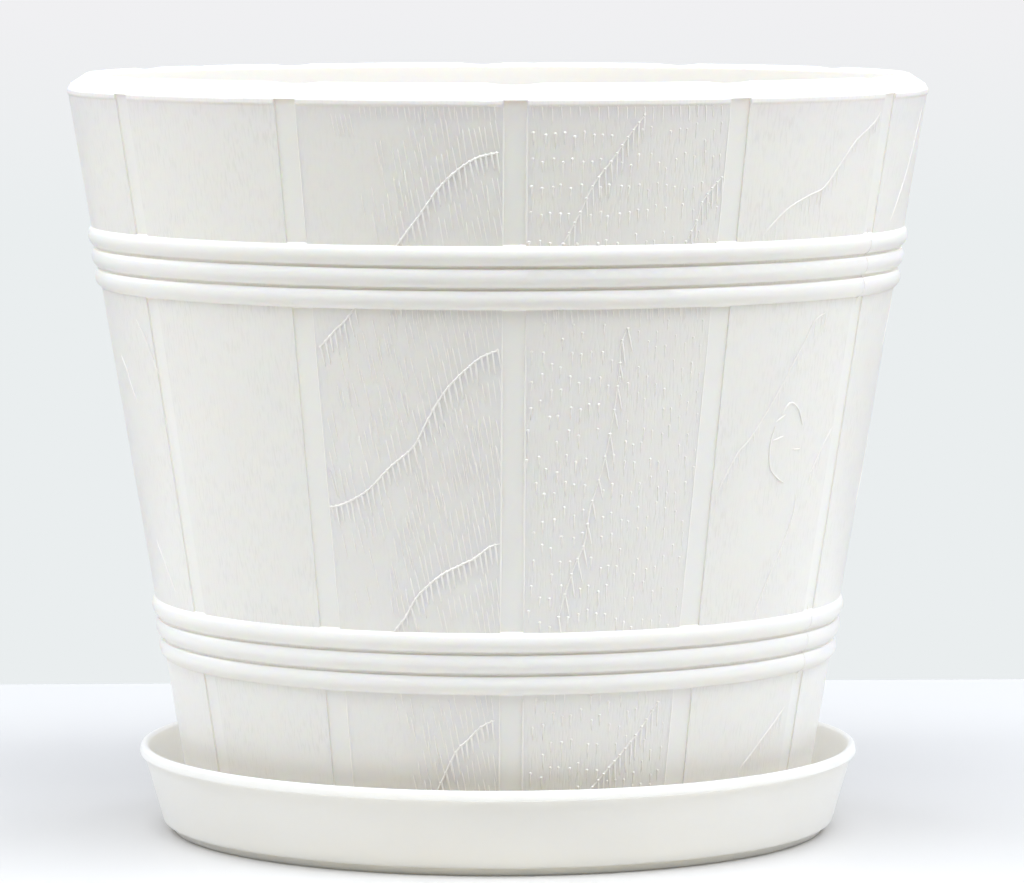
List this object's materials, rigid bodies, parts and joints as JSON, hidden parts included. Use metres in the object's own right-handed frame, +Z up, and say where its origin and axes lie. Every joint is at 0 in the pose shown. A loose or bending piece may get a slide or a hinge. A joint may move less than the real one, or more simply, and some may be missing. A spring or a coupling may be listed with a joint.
{
  "type": "flower pot with saucer",
  "caption": "Round tapered plastic flower pot moulded like a wooden stave tub, with ribbed hoops and a sloping rim, standing loose in a plain flared saucer that catches drained water.",
  "frame": {"origin": "on the common axis of pot and saucer, at the level of the surface that the saucer stands on", "axes": "+Z up along the axis of pot and saucer; -Y is the front, where the middle of one strip between two staves faces; +X to the right seen from the front"},
  "size_m": [0.24, 0.24, 0.2119],
  "materials": {
    "pot_plastic": "satin white moulded polypropylene",
    "saucer_plastic": "smooth satin white moulded polypropylene"
  },
  "bodies": {
    "saucer": {"saucer": "saucer_plastic"},
    "pot": {"pot": "pot_plastic"}
  },
  "joints": [
    {"name": "pot_lift", "type": "slide", "parent": "saucer", "child": "pot", "axis": [0, 0, 1], "range_m": [0, 0.06]}
  ]
}
